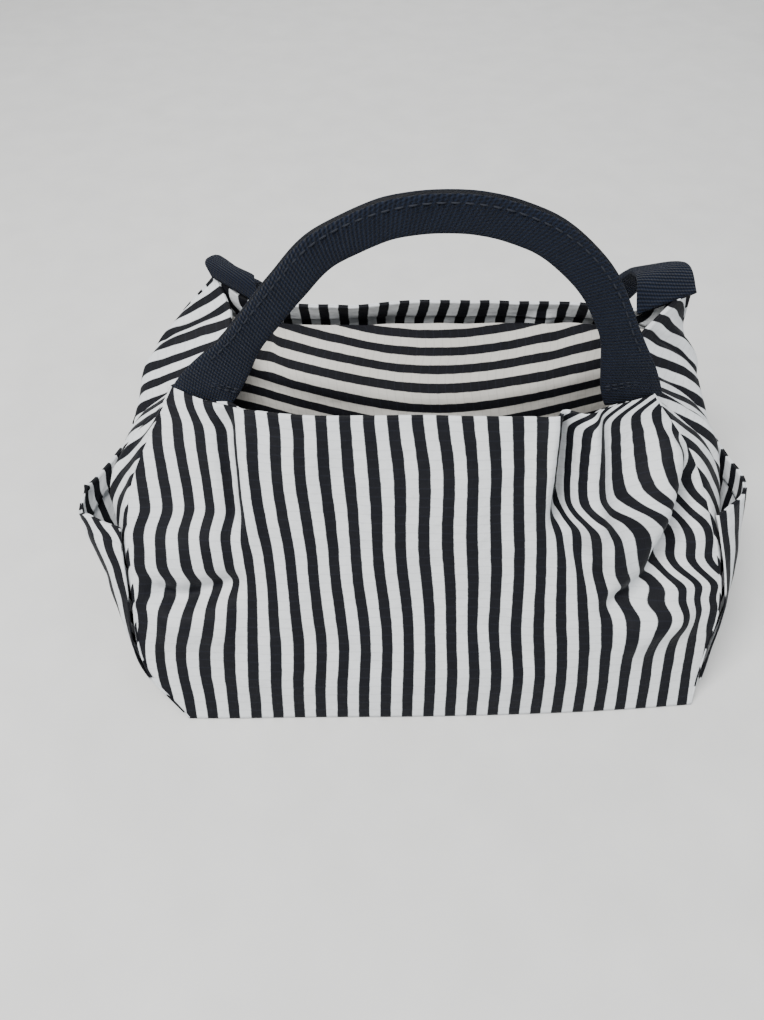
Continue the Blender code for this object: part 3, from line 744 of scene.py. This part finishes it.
def handle_rings(line, facing, count, end_axes, sink):
    """Centre points, width and thickness directions, fold share and length so far along a handle."""
    line = np.asarray(line, float) * CM
    line = np.concatenate([[sunk(line[0], line[1], sink)], line[1:-1], [sunk(line[-1], line[-2], sink)]])
    steps = np.linalg.norm(np.diff(line, axis=0), axis=1)
    knots = np.concatenate([[0.0], np.cumsum(steps)]) / steps.sum()
    share = np.linspace(0.0, 1.0, count)
    points = spline(knots, line, share)
    ahead = np.gradient(points, axis=0)
    ahead /= np.linalg.norm(ahead, axis=1, keepdims=True)
    thick = facing(share)
    thick -= ahead * np.sum(thick * ahead, axis=1, keepdims=True)
    thick /= np.linalg.norm(thick, axis=1, keepdims=True)
    wide = np.cross(ahead, thick)
    for place, axis in ((share, end_axes[0]), (1.0 - share, end_axes[1])):
        blend = np.clip(1.0 - place / 0.12, 0.0, 1.0)[:, None]
        wide = wide * (1.0 - blend) + np.asarray(axis) * blend
    wide /= np.linalg.norm(wide, axis=1, keepdims=True)
    thick = np.cross(wide, ahead)
    thick /= np.linalg.norm(thick, axis=1, keepdims=True)
    fold = smooth(np.minimum(share, 1.0 - share), -0.01, 0.16)
    return points, wide, thick, fold, share * steps.sum()


def build_handle(name, line, facing, end_axes, sink, turn_from, turn_to):
    """Webbing that lies flat at its sewn ends and is folded in half along the grip."""
    count = int(220 * FINE)
    points, wide, thick, fold, length = handle_rings(line, facing, count, end_axes, sink)
    # A section with square sides and eased corners, and a groove where the folded edges meet.
    turn = np.linspace(0.0, 2.0 * math.pi, 36, endpoint=False)
    w = np.sign(np.cos(turn)) * np.abs(np.cos(turn)) ** 0.45
    t = np.sign(np.sin(turn)) * np.abs(np.sin(turn)) ** 0.45
    groove = 0.0030 * bell(t, 0.0, 0.30) * (w < 0.0)
    half_width = 0.5 * (WEBBING_WIDTH + (GRIP_WIDTH - WEBBING_WIDTH) * fold)
    half_thick = 0.5 * (WEBBING_THICK + (GRIP_THICK - WEBBING_THICK) * fold)
    rings = []
    uvs = []
    for i in range(count):
        sway = 0.0005 * noise.noise(Vector((length[i] / 0.013, 1.7, 4.2)))
        wave = 0.0006 * noise.noise(Vector((length[i] / 0.018, 8.1, 2.2)))
        reach = w * half_width[i] + groove * fold[i] + wave
        depth = t * half_thick[i] + sway
        rings.append(points[i] + np.outer(reach, wide[i]) + np.outer(depth, thick[i]))
        around = np.where(t > 0.0, w, 2.0 - w) * half_width[i] / CM
        uvs.append(np.stack([around, np.full(len(turn), length[i] / CM)], axis=1))
    size = len(turn)
    faces = [tuple(range(size - 1, -1, -1)), tuple(range((count - 1) * size, count * size))]
    for i in range(count - 1):
        for j in range(size):
            k = (j + 1) % size
            faces.append((i * size + j, i * size + k, (i + 1) * size + k, (i + 1) * size + j))
    piece = make_piece(name + "_webbing", np.concatenate(rings), faces, np.concatenate(uvs), WEBBING_MATERIAL)
    for node in (name, name + "_left_end", name + "_right_end"):
        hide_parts(node)
    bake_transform(piece)
    grip = fold > 0.6
    places = points - wide * (half_width * 0.60)[:, None] + thick * (half_thick * 1.02)[:, None]
    row = stitch_row(name + "_grip_seam", places[grip], thick[grip], GRIP_STITCH, int(grip.sum()))
    finish(row, name + "_grip_stitching", name)
    for side, near, beyond in (("left", 0, 12), ("right", -1, -13)):
        step = (points[beyond] - points[near]) / np.linalg.norm(points[beyond] - points[near])
        reach = wide[near] * (WEBBING_WIDTH * 0.44)
        lines = []
        for offset in TACK_ROWS:
            middle = points[near] + step * (sink + offset) + thick[near] * 0.00125
            lines.append(np.linspace(middle - reach, middle + reach, TACK_POINTS))
        places = np.concatenate(lines)
        outward = np.tile(thick[near], (len(places), 1))
        row = stitch_row(name + "_" + side + "_tack_stitches", places, outward, TACK_STITCH, TACK_POINTS)
        finish(row, name + "_" + side + "_tack", "bag_body")


def stitch_row(name, places, outward, stitch, run):
    """Stitches laid end to end along lines of places, each line this many places long."""
    length, space, radius = stitch
    points = []
    faces = []
    for first in range(0, len(places), run):
        line = places[first : first + run]
        up = outward[first : first + run]
        steps = np.linalg.norm(np.diff(line, axis=0), axis=1)
        at = np.concatenate([[0.0], np.cumsum(steps)])
        here = 0.0
        while here + length <= at[-1]:
            ends = [np.array([np.interp(s, at, line[:, k]) for k in range(3)]) for s in (here, here + length)]
            lift = np.array([np.interp(here, at, up[:, k]) for k in range(3)])
            add_stitch(points, faces, ends, lift, radius)
            here += length + space
    return make_piece(name, points, faces, None, THREAD_MATERIAL)


def add_stitch(points, faces, ends, lift, radius):
    """One stitch: a short rounded strand that dips into the cloth at both ends."""
    a, b = ends
    ahead = (b - a) / np.linalg.norm(b - a)
    lift = lift - ahead * np.dot(lift, ahead)
    lift = lift / np.linalg.norm(lift)
    side = np.cross(ahead, lift)
    first = len(points)
    sides = 6
    # Each section's place along the stitch, its size and its rise, both in radii.
    sections = ((0.0, 0.35, -0.9), (0.12, 0.8, -0.1), (0.5, 1.0, 0.25), (0.88, 0.8, -0.1), (1.0, 0.35, -0.9))
    for share, size, rise in sections:
        centre = a + (b - a) * share + lift * radius * rise
        for k in range(sides):
            angle = 2.0 * math.pi * k / sides
            points.append(centre + (side * math.cos(angle) + lift * math.sin(angle)) * radius * size)
    for ring in range(len(sections) - 1):
        low = first + ring * sides
        for k in range(sides):
            j = (k + 1) % sides
            faces.append((low + k, low + j, low + sides + j, low + sides + k))
    last = first + (len(sections) - 1) * sides
    faces.append(tuple(first + k for k in range(sides - 1, -1, -1)))
    faces.append(tuple(last + k for k in range(sides)))


def front_facing(share):
    """The front handle faces forward all along."""
    return np.tile(np.array([0.0, -1.0, 0.0]), (len(share), 1))


def back_facing(share):
    """The back handle faces forward at its ends and backward where it hangs."""
    turn = np.clip(np.minimum(share, 1.0 - share) / 0.16, 0.0, 1.0) * math.pi
    direction = np.zeros((len(share), 3))
    direction[:, 1] = -np.cos(turn)
    direction[:, 2] = np.sin(turn)
    return direction


# ---------------------------------------------------------------- stage
def add_light(name, place, target, size, power, colour):
    """A rectangular lamp that faces its target."""
    data = bpy.data.lights.new(name, "AREA")
    data.shape = "RECTANGLE"
    data.size, data.size_y = size
    data.energy = power
    data.color = colour
    obj = bpy.data.objects.new(name, data)
    bpy.context.collection.objects.link(obj)
    obj.location = place
    obj.rotation_euler = (Vector(target) - Vector(place)).to_track_quat("-Z", "Y").to_euler()


def build_stage():
    """Floor, three lamps, the room's light and the camera."""
    half, low = 3.0, -0.0004
    corners = [(-half, -half, low), (half, -half, low), (half, half, low), (-half, half, low)]
    mesh = bpy.data.meshes.new("floor")
    mesh.from_pydata(corners, [], [(0, 1, 2, 3)])
    mesh.materials.append(FLOOR_MATERIAL)
    floor = bpy.data.objects.new("floor", mesh)
    bpy.context.collection.objects.link(floor)
    add_light("key", (-0.45, -0.35, 1.15), (0, 0, 0.05), (0.7, 0.7), 23.0, (1.0, 0.99, 0.97))
    add_light("fill", (0.9, -0.5, 0.8), (0, 0, 0.05), (0.9, 0.9), 5.0, (0.95, 0.98, 1.0))
    add_light("back", (0.1, 1.1, 0.9), (0, 0, 0.08), (1.2, 0.6), 7.0, (1.0, 1.0, 1.0))
    world = bpy.context.scene.world or bpy.data.worlds.new("World")
    bpy.context.scene.world = world
    world.use_nodes = True
    room = world.node_tree.nodes["Background"]
    room.inputs["Color"].default_value = (0.86, 0.88, 0.90, 1.0)
    room.inputs["Strength"].default_value = 0.38
    camera = bpy.data.cameras.new("camera")
    camera.lens = 27.35
    camera.sensor_width = 36.0
    obj = bpy.data.objects.new("camera", camera)
    bpy.context.collection.objects.link(obj)
    obj.location = (-0.024, -0.232, 0.340)
    obj.rotation_euler = (math.radians(40.0), 0.0, 0.0)
    bpy.context.scene.camera = obj


build_front()
build_back()
build_side("left", LEFT_PROFILES, LEFT_POCKET_PEAK, LEFT_POCKET_BULGE, 41.0)
build_side("right", RIGHT_PROFILES, RIGHT_POCKET_PEAK, RIGHT_POCKET_BULGE, 57.0)
build_base()
build_handle("front_handle", FRONT_HANDLE_LINE, front_facing, FRONT_END_AXES, FRONT_SINK, *FRONT_TURN)
build_handle("back_handle", BACK_HANDLE_LINE, back_facing, BACK_END_AXES, BACK_SINK, *BACK_TURN)
build_stage()
